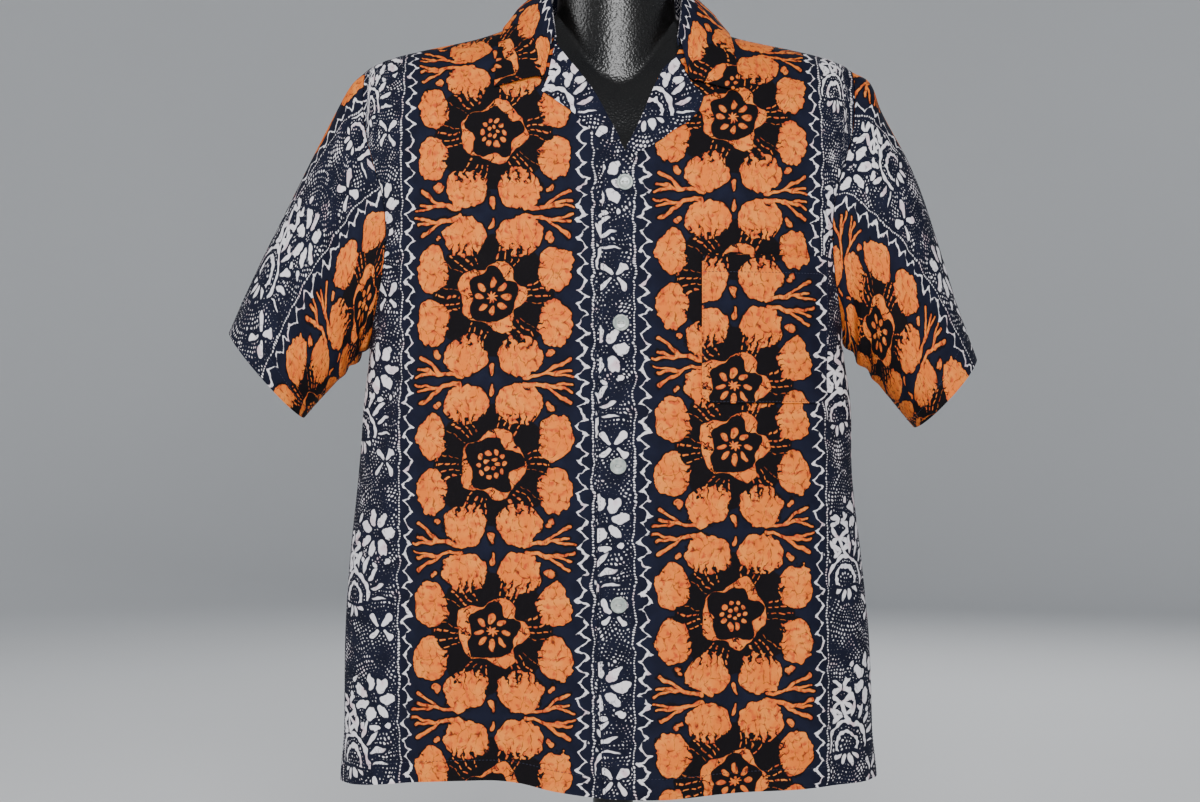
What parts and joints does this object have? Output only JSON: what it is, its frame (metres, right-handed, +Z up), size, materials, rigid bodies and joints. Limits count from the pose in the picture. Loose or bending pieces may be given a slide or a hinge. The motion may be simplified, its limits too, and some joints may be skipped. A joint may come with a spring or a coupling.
{
  "type": "short-sleeved hawaiian shirt on a limbless dress form",
  "caption": "Short-sleeved camp-collar shirt with a chest pocket and a button front, on a smooth limbless display form with a pole and a round base.",
  "frame": {"origin": "centre of the base's underside, on the ground", "axes": "+Z up; -Y is the shirt's front; +X is the wearer's left"},
  "size_m": [0.7035, 0.3, 0.95],
  "materials": {
    "cotton_print": "smooth printed cotton, matte",
    "cotton_facing": "smooth printed cotton, matte, the turned-back side",
    "pearl_button": "pale pearly gloss",
    "form_black": "glossy fine grain",
    "stand_black": "gloss black paint"
  },
  "bodies": {
    "root": {"shirt_front_right": "cotton_print", "shirt_front_left": "cotton_print", "shirt_back": "cotton_print", "sleeve_right": "cotton_print", "sleeve_left": "cotton_print", "collar": "cotton_print", "lapel_right": "cotton_facing", "lapel_left": "cotton_facing", "pocket": "cotton_print", "button_1": "pearl_button", "button_2": "pearl_button", "button_3": "pearl_button", "button_4": "pearl_button", "form_torso": "form_black", "stand_pole": "stand_black", "stand_base": "stand_black"}
  },
  "joints": []
}
